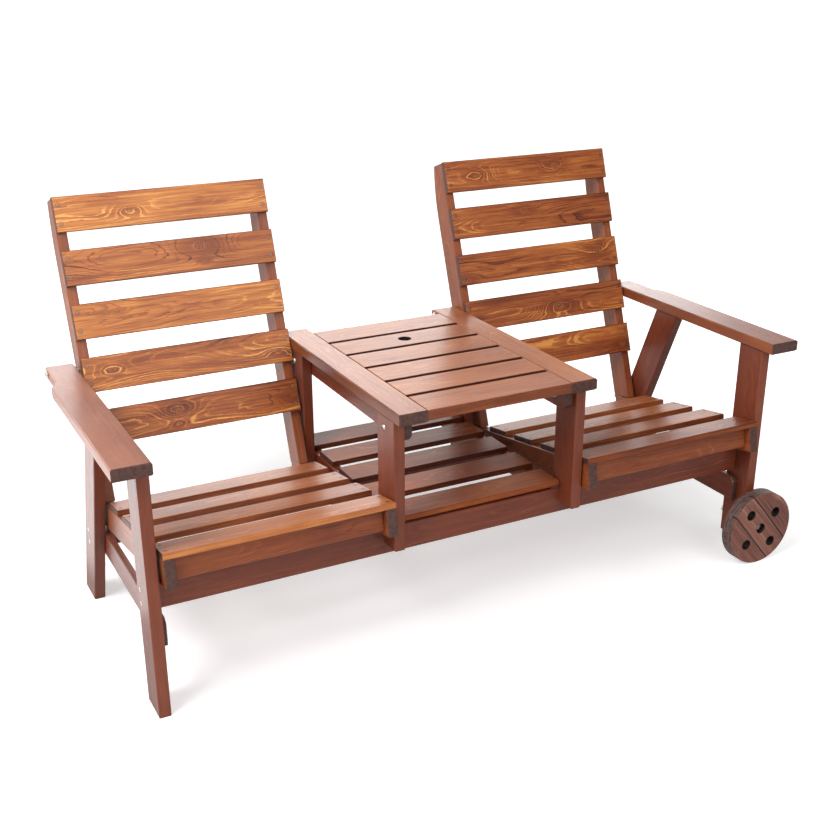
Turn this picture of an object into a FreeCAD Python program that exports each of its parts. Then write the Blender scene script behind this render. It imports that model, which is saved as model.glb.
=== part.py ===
import FreeCAD, Part
import math
import os

# Companion seat bench: two slatted seats with reclining backs, a slatted table
# with a parasol hole and a lower shelf between them, and two timber wheels at
# the right-hand end. Millimetres, +Z up, front towards -Y, right-hand end
# towards +X. The layout is drawn with X from the middle of the table, Y from
# the front ends of the armrests and Z from the ground, and is moved at the end
# so that the origin is the bottom centre of the bounding box.

# Timber stock
BOARD_T = 28.0            # thickness of rails and posts
LEG_T = 31.0
BOARD_W = 95.0            # width of legs, armrests and slats
RAIL_H = 74.0             # depth of rails, stretchers and back posts
SLAT_T = 16.0             # thickness of seat, back and shelf slats
TOP_T = 32.0              # thickness of armrests and table boards
ARRIS = 2.0               # eased edges of frame boards
TOP_ARRIS = 3.5           # eased edges of armrests and table boards
SLAT_ARRIS = 1.5          # eased edges of slats
FIT = 0.2                 # clearance of fixed joinery and of fixed bolts

# Widths, from the middle of the table outwards
TABLE_SLAT_L = 425.0      # between the two table boards
TABLE_BOARD_W = 81.0
BACK_GAP_TABLE = 2.5      # table board to back
BACK_W = 600.0
BACK_GAP_ARM = 9.0        # back to armrest
SEAT_OVER = 2.0           # the seat is wider than the back by this on each side
LEG_INSET = 0.5           # end leg stands in from the armrest's inner edge
TABLE_LEG_INSET = 4.5     # table leg stands in from the table board's outer edge

# Depths and heights
TOP_Z = 694.0             # upper face of armrests and table
TOP_DEPTH = 774.0         # front to rear of armrests and table boards
LEG_FRONT = 39.0          # front faces of the front legs
FRONT_RAIL_Y = 97.0
FRONT_RAIL_Z = 270.0
REAR_RAIL_Y = TOP_DEPTH - 119.0
REAR_RAIL_Z = 182.0

# Armrest's notch beside the back's pivot
NOTCH_W = 20.0
NOTCH_START = TOP_DEPTH - 174.0
NOTCH_FULL = TOP_DEPTH - 129.0

# Raked rear legs
REAR_LEG_RAKE = 21.8      # degrees from upright
REAR_LEG_FOOT = TOP_DEPTH - 81.0     # front edge at the ground

# Stretchers between front and rear end legs
STRETCHER_T = 18.0
STRETCHER_Y = 80.0
STRETCHER_Z = 174.0
STRETCHER_SHORT = 12.0    # its rear end stops this far inside the rear leg
CORNER_CUT = 14.0         # clipped corners of stretchers and table rails

# Table legs, rails and slats
REAR_PRONG = 23.0         # leg in front of the rear rail
BRIDLE_UP = 31.5          # table legs stop this far above the rails' lower edges
TABLE_RAIL_H = 66.0
TABLE_RAIL_BACK = 14.0    # table rail's front end behind the leg's front face
TABLE_SLATS = 6
TABLE_SLAT_T = 28.0
TABLE_SLAT_GAP = 13.5
TABLE_OPEN_END = 52.0     # the table boards reach this far behind the last slat
TENON_L = 12.0
TENON_T = 12.0
TENON_SHOULDER = 14.0
PARASOL_SLAT = 4          # counted from the front, starting at 0
PARASOL_D = 38.0

# Shelf
SHELF_SLATS = 5
SHELF_TOP = 367.5
SHELF_BACK = TOP_DEPTH - 34.0
SHELF_OVER = 25.0         # slats overhang the bearers' inner faces outwards by this
BEARER_H = 45.0

# Seats
SEAT_SLOPE = 9.6          # degrees, down towards the rear
SEAT_FRONT_Y = 5.0        # lower front corner of the side rails
RAIL_END_IN = 5.4         # side rails end this far in front of the back posts' rear faces
SEAT_LIFT = 0.4           # side rails clear the front rail by this
SLAT_PITCH = 145.0        # seat and back slats
SEAT_SLATS = 4
SEAT_RECESS = 22.0        # front rail behind the ends of the side rails
SEAT_FRONT_H = 60.0

# Backs
BACK_TILT = 19.5          # degrees from upright
BACK_SLATS = 5
BACK_TOP = 463.0          # top of the back above its pivot, along the posts
PIVOT_Y = TOP_DEPTH - 21.0
TAPER_L = 160.0           # rounded rear corner at a post's top
TAPER_IN = 23.0

# Hinges between backs and seats
KNUCKLE_D = 9.0
HINGE_PIN_D = 5.0
LEAF_T = 2.0
LEAF_W = 24.0             # along the pin
LEAF_L = 38.0
MOVING_GAP = 0.3          # between faces that move past each other
RUNNING = 0.05            # radial running clearance on pins, bolts and axles

# Bolts, nuts and washers
PIVOT_D = 10.0
PIVOT_HEAD_D = 19.0
PIVOT_NUT = 17.0          # across flats
PIVOT_NUT_H = 8.0
TABLE_BOLT_D = 8.0
TABLE_BOLT_HEAD_D = 18.0
TABLE_NUT = 13.0
TABLE_NUT_H = 6.5
TABLE_BOLT_BACK = 57.0    # behind the leg's front face
HEAD_RISE = 5.0           # crown height of the domed heads
WASHER_T = 2.0
WASHER_D = 24.0
THREAD_OUT = 3.0          # bolt end beyond its nut
FLATS = 12                # small round hardware is drawn with this many sides

# Wheels
WHEEL_D = 230.0
WHEEL_LAYER = 21.0
WHEEL_SEAM = 83.0         # width of a wheel's middle board
SEAM = 0.4                # open joint between a wheel's boards
WHEEL_GRAIN = -49.7       # degrees, run of the face boards
WHEEL_HOLE_D = 30.0
WHEEL_HOLE_SIDES = 24
WHEEL_HOLE_R = 68.0
WHEEL_CENTRE_D = 32.0
WHEEL_ARRIS = 2.0
WHEEL_STAND = 20.0        # front wheel clear of its leg
AXLE_D = 12.0
AXLE_HEAD = 19.0          # across flats, nut too
AXLE_HEAD_H = 8.0
AXLE_NUT_H = 9.0
LEG_CLEAR = 50.0          # the right-hand legs stop this far above the ground
HEEL_TRIM = 4.5           # upright cut on the right rear leg, in from its rear edge

V = FreeCAD.Vector
X, Y, Z = V(1, 0, 0), V(0, 1, 0), V(0, 0, 1)

BOARD_IN = TABLE_SLAT_L / 2
BOARD_OUT = BOARD_IN + TABLE_BOARD_W
BACK_IN = BOARD_OUT + BACK_GAP_TABLE
BACK_OUT = BACK_IN + BACK_W
SEAT_IN = BACK_IN - SEAT_OVER
SEAT_OUT = BACK_OUT + SEAT_OVER
ARM_IN = BACK_OUT + BACK_GAP_ARM
ARM_OUT = ARM_IN + BOARD_W
LEG_IN = ARM_IN + LEG_INSET
LEG_OUT = LEG_IN + LEG_T
STRETCHER_IN = LEG_IN - STRETCHER_T
TLEG_OUT = BOARD_OUT - TABLE_LEG_INSET
TLEG_IN = TLEG_OUT - LEG_T
TRAIL_IN = TLEG_IN - BOARD_T
BOLT_THROUGH = LEG_T + BOARD_T

UNDER_TOP = TOP_Z - TOP_T
LEG_BACK = LEG_FRONT + BOARD_W
FRONT_RAIL_BACK = FRONT_RAIL_Y + BOARD_T
FRONT_RAIL_TOP = FRONT_RAIL_Z + RAIL_H
REAR_RAIL_BACK = REAR_RAIL_Y + BOARD_T
REAR_RAIL_TOP = REAR_RAIL_Z + RAIL_H
REAR_TLEG_FRONT = REAR_RAIL_Y - REAR_PRONG
REAR_TLEG_BACK = REAR_TLEG_FRONT + BOARD_W
RAKE = math.tan(math.radians(REAR_LEG_RAKE))
LEG_ACROSS = BOARD_W / math.cos(math.radians(REAR_LEG_RAKE))
TABLE_SLAT_W = (TOP_DEPTH - TABLE_OPEN_END - (TABLE_SLATS - 1) * TABLE_SLAT_GAP) / TABLE_SLATS
SHELF_PITCH = (SHELF_BACK - FRONT_RAIL_Y - BOARD_W) / (SHELF_SLATS - 1)

PIVOT_Z = TOP_Z - TOP_T / 2
POST_REAR = RAIL_H / 2
POST_FRONT = -POST_REAR
SLAT_FRONT = POST_FRONT - SLAT_T

WHEEL_R = WHEEL_D / 2
AXLE_X = (LEG_IN + LEG_OUT) / 2
AXLE_Z = WHEEL_R
AXLE_NUT_ROOM = AXLE_HEAD / math.sqrt(3) + 2.0

# The seat rests on the upper rear edge of the front rail.
slope = math.radians(SEAT_SLOPE)
seat_rise = (SEAT_LIFT + (FRONT_RAIL_BACK - SEAT_FRONT_Y) * math.sin(slope)) / math.cos(slope)
SEAT_AT = FreeCAD.Placement(V(0, SEAT_FRONT_Y, FRONT_RAIL_TOP + seat_rise), FreeCAD.Rotation(X, -SEAT_SLOPE))
BACK_AT = FreeCAD.Placement(V(0, PIVOT_Y, PIVOT_Z), FreeCAD.Rotation(X, -BACK_TILT))
SEAT_IN_BACK = BACK_AT.inverse().multiply(SEAT_AT)

# The side rails reach back until their ends are under the posts' rear faces.
seat_start = SEAT_IN_BACK.multVec(V(0, 0, RAIL_H + MOVING_GAP + LEAF_T))
seat_reach = POST_REAR - RAIL_END_IN - seat_start.y
SEAT_RAIL_L = seat_reach / math.cos(math.radians(BACK_TILT - SEAT_SLOPE))


def placed(shape, placement):
    out = shape.copy()
    out.Placement = placement.multiply(out.Placement)
    return out


def mirrored(shape):
    return shape.mirror(V(0, 0, 0), X)


def group(solids):
    return Part.makeCompound(solids)


def cube(x0, x1, y0, y1, z0, z1):
    return Part.makeBox(x1 - x0, y1 - y0, z1 - z0, V(x0, y0, z0))


def rod(diameter, start, axis, length):
    return Part.makeCylinder(diameter / 2, length, start, axis)


def outline(points):
    return Part.makePolygon(list(points) + [points[0]])


def flat_wire(corner_radius, sides, height=0.0):
    """A regular polygon round the Z axis, at this height."""
    turns = [2 * math.pi * i / sides for i in range(sides)]
    return outline([V(corner_radius * math.cos(a), corner_radius * math.sin(a), height) for a in turns])


def prism(corner_radius, sides, start, axis, length):
    body = Part.Face(flat_wire(corner_radius, sides)).extrude(Z * length)
    return placed(body, FreeCAD.Placement(start, FreeCAD.Rotation(Z, axis)))


def pin(diameter, start, axis, length):
    """Small round stock, its corners on the true radius."""
    return prism(diameter / 2, FLATS, start, axis, length)


def bore(diameter, start, axis, length):
    """Hole for small round stock, its flats on the true radius."""
    return prism(diameter / 2 / math.cos(math.pi / FLATS), FLATS, start, axis, length)


def running_bore(diameter, start, axis, length):
    """Round hole in which a pin, bolt or axle turns."""
    return rod(diameter + 2 * RUNNING, start, axis, length)


def washer(bolt_d, start, axis, thickness=WASHER_T):
    return pin(WASHER_D, start, axis, thickness).cut(bore(bolt_d + 2 * RUNNING, start, axis, thickness))


def plank(wire, axis, thickness, arris=ARRIS):
    """A board of this outline and thickness, with both faces' edges eased."""
    board = Part.Face(wire).extrude(axis * thickness)
    edges = []
    for edge in board.Edges:
        run = edge.Vertexes[-1].Point - edge.Vertexes[0].Point
        if run.cross(axis).Length > FIT:
            edges.append(edge)
    return board.makeChamfer(arris, edges)


def bar(x, y, z, axis, arris=ARRIS):
    """A square-cut board from its three ranges; axis is its thickness."""
    if axis == X:
        corners = [V(x[0], b, c) for b, c in ((y[0], z[0]), (y[1], z[0]), (y[1], z[1]), (y[0], z[1]))]
        return plank(outline(corners), X, x[1] - x[0], arris)
    if axis == Y:
        corners = [V(a, y[0], c) for a, c in ((x[0], z[0]), (x[1], z[0]), (x[1], z[1]), (x[0], z[1]))]
        return plank(outline(corners), Y, y[1] - y[0], arris)
    corners = [V(a, b, z[0]) for a, b in ((x[0], y[0]), (x[1], y[0]), (x[1], y[1]), (x[0], y[1]))]
    return plank(outline(corners), Z, z[1] - z[0], arris)


def domed_bolt(under_head, axis, length, head_d, shank_d):
    """A domed head lofted through three rings, on a plain shank."""
    head_r = head_d / 2
    rings = [flat_wire(head_r, FLATS), flat_wire(head_r * 0.9, FLATS, -HEAD_RISE * 0.55),
             flat_wire(head_r * 0.45, FLATS, -HEAD_RISE)]
    head = Part.makeLoft(rings, True, True)
    bolt = head.fuse(pin(shank_d, V(0, 0, 0), Z, length)).removeSplitter()
    return placed(bolt, FreeCAD.Placement(under_head, FreeCAD.Rotation(Z, axis)))


def hexagon(across_flats, start, axis, height):
    return prism(across_flats / math.sqrt(3), 6, start, axis, height)


def nut(across_flats, bolt_d, start, axis, height):
    return hexagon(across_flats, start, axis, height).cut(bore(bolt_d + 2 * RUNNING, start, axis, height))


def front_leg(foot):
    return bar((LEG_IN, LEG_OUT), (LEG_FRONT, LEG_BACK), (foot, UNDER_TOP), X)


def rear_leg_edge(z, rear=False):
    return REAR_LEG_FOOT - RAKE * z + (LEG_ACROSS if rear else 0.0)


def rear_leg(foot, heel=None):
    """Raked leg with level ends; heel is the upright cut that clears a wheel."""
    points = [(rear_leg_edge(foot), foot)]
    if heel is None:
        points.append((rear_leg_edge(foot, True), foot))
    else:
        points += [(heel, foot), (heel, (REAR_LEG_FOOT + LEG_ACROSS - heel) / RAKE)]
    points += [(rear_leg_edge(UNDER_TOP, True), UNDER_TOP), (rear_leg_edge(UNDER_TOP), UNDER_TOP)]
    return plank(outline([V(LEG_IN, y, z) for y, z in points]), X, LEG_T)


def stretcher():
    """Board between front and rear end legs, its front corner clipped and its rear end raked."""
    top = STRETCHER_Z + RAIL_H
    end = rear_leg_edge(STRETCHER_Z, True) - STRETCHER_SHORT
    points = [(STRETCHER_Y, STRETCHER_Z), (end, STRETCHER_Z), (end - RAKE * RAIL_H, top),
              (STRETCHER_Y + CORNER_CUT, top), (STRETCHER_Y, top - CORNER_CUT)]
    return plank(outline([V(STRETCHER_IN, y, z) for y, z in points]), X, STRETCHER_T)


def armrest():
    """Armrest whose outer edge is notched beside the back's pivot bolt."""
    notched = ARM_OUT - NOTCH_W
    points = [(ARM_IN, 0), (ARM_OUT, 0), (ARM_OUT, NOTCH_START), (notched, NOTCH_FULL),
              (notched, TOP_DEPTH), (ARM_IN, TOP_DEPTH)]
    board = plank(outline([V(x, y, UNDER_TOP) for x, y in points]), Z, TOP_T, TOP_ARRIS)
    return board.cut(bore(PIVOT_D + 2 * FIT, V(ARM_IN, PIVOT_Y, PIVOT_Z), X, BOARD_W))


def table_leg(front, rail_y, rail_z):
    """Leg slotted at its foot so that it straddles a long rail."""
    leg = bar((TLEG_IN, TLEG_OUT), (front, front + BOARD_W), (rail_z + BRIDLE_UP, UNDER_TOP), X)
    slot = cube(TLEG_IN, TLEG_OUT, rail_y - FIT, rail_y + BOARD_T + FIT, rail_z, rail_z + RAIL_H)
    return leg.cut(slot).cut(table_bolt_hole(front))


def table_bolt_at(front):
    return V(TLEG_OUT, front + TABLE_BOLT_BACK, UNDER_TOP - TABLE_RAIL_H / 2)


def table_bolt_hole(front):
    return bore(TABLE_BOLT_D + 2 * FIT, table_bolt_at(front), -X, BOLT_THROUGH)


def table_rail():
    """Rail under a table board, bolted to the two table legs, with clipped lower corners."""
    low = UNDER_TOP - TABLE_RAIL_H
    front, back = LEG_FRONT + TABLE_RAIL_BACK, REAR_TLEG_BACK
    points = [(front, UNDER_TOP), (front, low + CORNER_CUT), (front + CORNER_CUT, low),
              (back - CORNER_CUT, low), (back, low + CORNER_CUT), (back, UNDER_TOP)]
    rail = plank(outline([V(TRAIL_IN, y, z) for y, z in points]), X, BOARD_T)
    return rail.cut([table_bolt_hole(LEG_FRONT), table_bolt_hole(REAR_TLEG_FRONT)])


def table_slat_front(i):
    return i * (TABLE_SLAT_W + TABLE_SLAT_GAP)


def tenon(i, spare):
    """Tenon of slat i on the right-hand side, or with spare the mortise that takes it."""
    front = table_slat_front(i) + TENON_SHOULDER - spare
    back = table_slat_front(i) + TABLE_SLAT_W - TENON_SHOULDER + spare
    low = TOP_Z - TABLE_SLAT_T / 2 - TENON_T / 2 - spare
    return cube(BOARD_IN - TENON_L, BOARD_IN + TENON_L + spare, front, back, low, low + TENON_T + 2 * spare)


def table_slat(i):
    front = table_slat_front(i)
    depth = (front, front + TABLE_SLAT_W)
    body = bar((-BOARD_IN, BOARD_IN), depth, (TOP_Z - TABLE_SLAT_T, TOP_Z), Z, SLAT_ARRIS)
    right = tenon(i, 0.0)
    return body.fuse([right, mirrored(right)]).removeSplitter()


def table_board():
    """Board along the table's right-hand side, mortised for the slats and bored for a back's pivot."""
    board = bar((BOARD_IN, BOARD_OUT), (0, TOP_DEPTH), (UNDER_TOP, TOP_Z), Z, TOP_ARRIS)
    mortises = [tenon(i, FIT) for i in range(TABLE_SLATS)]
    pivot_hole = bore(PIVOT_D + 2 * FIT, V(BOARD_IN, PIVOT_Y, PIVOT_Z), X, TABLE_BOARD_W)
    return board.cut(mortises).cut(pivot_hole)


def shelf_slat(i):
    """Shelf slat resting on the two bearers."""
    half = TRAIL_IN + SHELF_OVER
    front = FRONT_RAIL_Y + i * SHELF_PITCH
    return bar((-half, half), (front, front + BOARD_W), (SHELF_TOP - SLAT_T, SHELF_TOP), Z, SLAT_ARRIS)


def shelf_bearer():
    """Bearer on the table legs' inner faces, its front end notched over the front long rail."""
    top = SHELF_TOP - SLAT_T
    back = FRONT_RAIL_Y + (SHELF_SLATS - 1) * SHELF_PITCH + BOARD_W
    bearer = bar((TRAIL_IN, TLEG_IN), (FRONT_RAIL_Y, back), (top - BEARER_H, top), X)
    notch_end = FRONT_RAIL_BACK + FIT
    return bearer.cut(cube(TRAIL_IN, TLEG_IN, FRONT_RAIL_Y, notch_end, top - BEARER_H, FRONT_RAIL_TOP))


def seat_rail(inner):
    return bar((inner, inner + BOARD_T), (0, SEAT_RAIL_L), (0, RAIL_H), X)


def seat_front_rail():
    return bar((SEAT_IN + BOARD_T, SEAT_OUT - BOARD_T), (SEAT_RECESS, SEAT_RECESS + BOARD_T),
               (RAIL_H - SEAT_FRONT_H, RAIL_H), Y)


def seat_slat(i):
    front = i * SLAT_PITCH
    return bar((SEAT_IN, SEAT_OUT), (front, front + BOARD_W), (RAIL_H, RAIL_H + SLAT_T), Z, SLAT_ARRIS)


def post_foot(depth):
    """Height of a post's foot, cut along the seat rail's top, just over the hinge leaf."""
    heel = SEAT_IN_BACK.multVec(V(0, SEAT_RAIL_L, RAIL_H + MOVING_GAP + LEAF_T))
    return heel.z + (depth - heel.y) * math.tan(math.radians(BACK_TILT - SEAT_SLOPE))


def back_post(inner):
    """Post in the back's own axes: origin at the pivot, front towards -Y, top corner rounded."""
    radius = (TAPER_L ** 2 + TAPER_IN ** 2) / (2 * TAPER_IN)
    half_turn = math.asin(TAPER_L / radius) / 2
    spring = V(inner, POST_REAR, BACK_TOP - TAPER_L)
    middle = spring + V(0, -radius * (1 - math.cos(half_turn)), radius * math.sin(half_turn))
    tip = V(inner, POST_REAR - TAPER_IN, BACK_TOP)
    toe = V(inner, POST_FRONT, post_foot(POST_FRONT))
    heel = V(inner, POST_REAR, post_foot(POST_REAR))
    sides = Part.makePolygon([tip, V(inner, POST_FRONT, BACK_TOP), toe, heel, spring])
    wire = Part.Wire(sides.Edges + [Part.Arc(spring, middle, tip).toShape()])
    return plank(wire, X, BOARD_T).cut(running_bore(PIVOT_D, V(inner, 0, 0), X, BOARD_T))


def back_slat(i):
    top = BACK_TOP - i * SLAT_PITCH
    return bar((BACK_IN, BACK_OUT), (SLAT_FRONT, POST_FRONT), (top - BOARD_W, top), Y, SLAT_ARRIS)


def hinge(middle):
    """Seat leaf, back leaf and pin of one butt hinge, in the seat's axes."""
    knuckle_r = KNUCKLE_D / 2
    pin_y = SEAT_RAIL_L + knuckle_r + MOVING_GAP
    pin_z = RAIL_H + MOVING_GAP + LEAF_T - knuckle_r
    left, right = middle - LEAF_W / 2, middle + LEAF_W / 2
    third = LEAF_W / 3

    def at(start):
        return V(start, pin_y, pin_z)

    room_d = KNUCKLE_D + 2 * MOVING_GAP
    side = third - MOVING_GAP / 2
    seat_leaf = cube(left, right, SEAT_RAIL_L, SEAT_RAIL_L + LEAF_T, pin_z - LEAF_L, pin_z)
    seat_leaf = seat_leaf.cut(bore(room_d, at(left + side), X, third + MOVING_GAP))
    seat_leaf = seat_leaf.fuse([pin(KNUCKLE_D, at(left), X, side), pin(KNUCKLE_D, at(right - side), X, side)])
    top = pin_z + knuckle_r
    back_leaf = cube(left, right, pin_y - LEAF_L, pin_y, top - LEAF_T, top)
    back_leaf = back_leaf.cut([bore(room_d, at(left), X, third), bore(room_d, at(right - third), X, third)])
    back_leaf = back_leaf.fuse(pin(KNUCKLE_D, at(left + third), X, third))
    seat_leaf = seat_leaf.removeSplitter().cut(bore(HINGE_PIN_D + 2 * RUNNING, at(left), X, LEAF_W))
    back_leaf = back_leaf.removeSplitter().cut(running_bore(HINGE_PIN_D, at(left), X, LEAF_W))
    return seat_leaf, back_leaf, pin(HINGE_PIN_D, at(left), X, LEAF_W)


def seat_and_back(name, side):
    """The nodes of one seat and its back; side is 1 on the right and -1 on the left."""
    hinges = [hinge(BACK_IN + BOARD_T / 2), hinge(BACK_OUT - BOARD_T / 2)]
    seat = {
        "seat_inner_rail": seat_rail(SEAT_IN),
        "seat_outer_rail": seat_rail(SEAT_OUT - BOARD_T),
        "seat_front_rail": seat_front_rail(),
        "seat_slats": group([seat_slat(i) for i in range(SEAT_SLATS)]),
        "seat_hinge_leaves": group([leaves[0] for leaves in hinges]),
        "back_hinge_leaves": group([leaves[1] for leaves in hinges]),
        "hinge_pins": group([leaves[2] for leaves in hinges]),
    }
    back = {
        "back_inner_post": back_post(BACK_IN),
        "back_outer_post": back_post(BACK_OUT - BOARD_T),
        "back_slats": group([back_slat(i) for i in range(BACK_SLATS)]),
    }
    for nodes, placement in ((seat, SEAT_AT), (back, BACK_AT)):
        for key, shape in nodes.items():
            shape = placed(shape, placement)
            parts[name + "_" + key] = shape if side > 0 else mirrored(shape)


def pivot_bolt(head_x, axis, nut_x):
    """Bolt, nut and head washer at a back's pivot; the nut stops clear of the post."""
    head = V(head_x, PIVOT_Y, PIVOT_Z) - axis * WASHER_T
    nut_at = V(nut_x, PIVOT_Y, PIVOT_Z) + axis * MOVING_GAP
    length = (nut_at - head).Length + PIVOT_NUT_H + THREAD_OUT
    return (domed_bolt(head, axis, length, PIVOT_HEAD_D, PIVOT_D),
            nut(PIVOT_NUT, PIVOT_D, nut_at, axis, PIVOT_NUT_H),
            washer(PIVOT_D, head, axis))


def pivots():
    """Hardware of the right-hand back: bolts, nuts, and washers with the two spacers."""
    outer = pivot_bolt(ARM_OUT - NOTCH_W, -X, BACK_OUT - BOARD_T)
    inner = pivot_bolt(BOARD_IN, X, BACK_IN + BOARD_T)
    arm_spacer = washer(PIVOT_D, V(ARM_IN, PIVOT_Y, PIVOT_Z), -X, BACK_GAP_ARM - MOVING_GAP)
    board_spacer = washer(PIVOT_D, V(BOARD_OUT, PIVOT_Y, PIVOT_Z), X, BACK_GAP_TABLE - MOVING_GAP)
    return [outer[0], inner[0]], [outer[1], inner[1]], [outer[2], inner[2], arm_spacer, board_spacer]


def wheel_hole(diameter, start, outward):
    return prism(diameter / 2, WHEEL_HOLE_SIDES, start, Y * outward, WHEEL_LAYER)


def wheel_layer(near, outward, grain, centre_hole, eased=0.0):
    """Three boards side by side, cut to a disc with round holes; eased is taken off its outer rim."""
    plain = WHEEL_LAYER - eased
    disc = rod(WHEEL_D, V(0, near, 0), Y * outward, plain)
    if eased:
        rim = Part.makeCone(WHEEL_R, WHEEL_R - eased, eased, V(0, near + outward * plain, 0), Y * outward)
        disc = disc.fuse(rim).removeSplitter()
    holes = [centre_hole]
    for i in range(4):
        turn = math.radians(WHEEL_GRAIN + 90 * i)
        spot = V(WHEEL_HOLE_R * math.cos(turn), near, WHEEL_HOLE_R * math.sin(turn))
        holes.append(wheel_hole(WHEEL_HOLE_D, spot, outward))
    disc = disc.cut(holes)
    low_y, high_y = sorted((near, near + outward * WHEEL_LAYER))
    half = WHEEL_SEAM / 2
    boards = []
    for low, high in ((-WHEEL_R, -half), (-half, half), (half, WHEEL_R)):
        strip = cube(-WHEEL_R, WHEEL_R, low_y, high_y, low + SEAM / 2, high - SEAM / 2)
        strip.rotate(V(0, 0, 0), Y, -grain)
        boards.append(disc.common(strip))
    layer = group(boards)
    layer.translate(V(AXLE_X, 0, AXLE_Z))
    return layer


def wheel(name, near, outward):
    """Backing boards next to the legs and face boards across them; near is the leg-side face."""
    middle = near + outward * WHEEL_LAYER
    axle_bore = running_bore(AXLE_D, V(0, near, 0), Y * outward, WHEEL_LAYER)
    recess = wheel_hole(WHEEL_CENTRE_D, V(0, middle, 0), outward)
    parts[name + "_backing_boards"] = wheel_layer(near, outward, WHEEL_GRAIN + 90, axle_bore)
    parts[name + "_face_boards"] = wheel_layer(middle, outward, WHEEL_GRAIN, recess, WHEEL_ARRIS)


def axle(near, outward, wheel_side, nut_side):
    """Axle bolt with its head in the wheel's recess, its nut on the leg, and the washers between."""
    inward = Y * -outward
    head = V(AXLE_X, near + outward * (WHEEL_LAYER + MOVING_GAP), AXLE_Z)
    end = V(AXLE_X, nut_side, AXLE_Z)
    length = (end - head).Length + WASHER_T + AXLE_NUT_H + THREAD_OUT
    bolt = hexagon(AXLE_HEAD, head - inward * AXLE_HEAD_H, inward, AXLE_HEAD_H)
    bolt = bolt.fuse(rod(AXLE_D, head, inward, length)).removeSplitter()
    spacer = washer(AXLE_D, V(AXLE_X, wheel_side, AXLE_Z), -inward, abs(near - wheel_side) - MOVING_GAP)
    locknut = nut(AXLE_HEAD, AXLE_D, end + inward * WASHER_T, inward, AXLE_NUT_H)
    return bolt, locknut, [spacer, washer(AXLE_D, end, inward)]


def axle_hole(start, length):
    return bore(AXLE_D + 2 * FIT, V(AXLE_X, start, AXLE_Z), Y, length)


parts = {}

# End frames
heel = rear_leg_edge(AXLE_Z, True) - HEEL_TRIM
nut_seat = rear_leg_edge(AXLE_Z - AXLE_NUT_ROOM)
pocket = cube(LEG_IN, LEG_OUT, nut_seat - BOARD_W, nut_seat, AXLE_Z - AXLE_NUT_ROOM, AXLE_Z + AXLE_NUT_ROOM)
parts["left_front_leg"] = mirrored(front_leg(0.0))
parts["left_rear_leg"] = mirrored(rear_leg(0.0))
parts["right_front_leg"] = front_leg(LEG_CLEAR).cut(axle_hole(LEG_FRONT, BOARD_W))
parts["right_rear_leg"] = rear_leg(LEG_CLEAR, heel).cut([pocket, axle_hole(nut_seat, heel - nut_seat)])
parts["right_stretcher"] = stretcher()
parts["left_stretcher"] = mirrored(stretcher())
parts["right_armrest"] = armrest()
parts["left_armrest"] = mirrored(armrest())

# Long rails
front_rail_depth = (FRONT_RAIL_Y, FRONT_RAIL_BACK)
rear_rail_depth = (REAR_RAIL_Y, REAR_RAIL_BACK)
parts["front_rail"] = bar((-LEG_IN, LEG_IN), front_rail_depth, (FRONT_RAIL_Z, FRONT_RAIL_TOP), Y)
parts["rear_rail"] = bar((-STRETCHER_IN, STRETCHER_IN), rear_rail_depth, (REAR_RAIL_Z, REAR_RAIL_TOP), Y)

# Table
table_pieces = {
    "front_table_leg": table_leg(LEG_FRONT, FRONT_RAIL_Y, FRONT_RAIL_Z),
    "rear_table_leg": table_leg(REAR_TLEG_FRONT, REAR_RAIL_Y, REAR_RAIL_Z),
    "table_rail": table_rail(),
    "table_board": table_board(),
    "shelf_bearer": shelf_bearer(),
}
for key, shape in table_pieces.items():
    parts["right_" + key] = shape
    parts["left_" + key] = mirrored(shape)
parasol_y = table_slat_front(PARASOL_SLAT) + TABLE_SLAT_W / 2
parasol_hole = rod(PARASOL_D, V(0, parasol_y, TOP_Z - TABLE_SLAT_T), Z, TABLE_SLAT_T)
parts["parasol_slat"] = table_slat(PARASOL_SLAT).cut(parasol_hole)
parts["table_slats"] = group([table_slat(i) for i in range(TABLE_SLATS) if i != PARASOL_SLAT])
parts["shelf_slats"] = group([shelf_slat(i) for i in range(SHELF_SLATS)])

# Bolts that hold the table legs to the table rails
leg_bolts, leg_nuts = [], []
for front in (LEG_FRONT, REAR_TLEG_FRONT):
    at = table_bolt_at(front)
    length = BOLT_THROUGH + TABLE_NUT_H + THREAD_OUT
    leg_bolts.append(domed_bolt(at, -X, length, TABLE_BOLT_HEAD_D, TABLE_BOLT_D))
    leg_nuts.append(nut(TABLE_NUT, TABLE_BOLT_D, at - X * BOLT_THROUGH, -X, TABLE_NUT_H))
parts["table_leg_bolts"] = group(leg_bolts + [mirrored(bolt) for bolt in leg_bolts])
parts["table_leg_nuts"] = group(leg_nuts + [mirrored(one) for one in leg_nuts])

# Seats, backs and their hinges
seat_and_back("right", 1)
seat_and_back("left", -1)
for key, solids in zip(("pivot_bolts", "pivot_nuts", "pivot_washers"), pivots()):
    parts[key] = group(solids + [mirrored(one) for one in solids])

# Wheels and axles
front_near = LEG_FRONT - WHEEL_STAND
rear_near = heel + WASHER_T + MOVING_GAP
wheel("front_wheel", front_near, -1)
wheel("rear_wheel", rear_near, 1)
front_axle = axle(front_near, -1, LEG_FRONT, LEG_BACK)
rear_axle = axle(rear_near, 1, heel, nut_seat)
parts["axle_bolts"] = group([front_axle[0], rear_axle[0]])
parts["axle_nuts"] = group([front_axle[1], rear_axle[1]])
parts["axle_washers"] = group(front_axle[2] + rear_axle[2])

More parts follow.
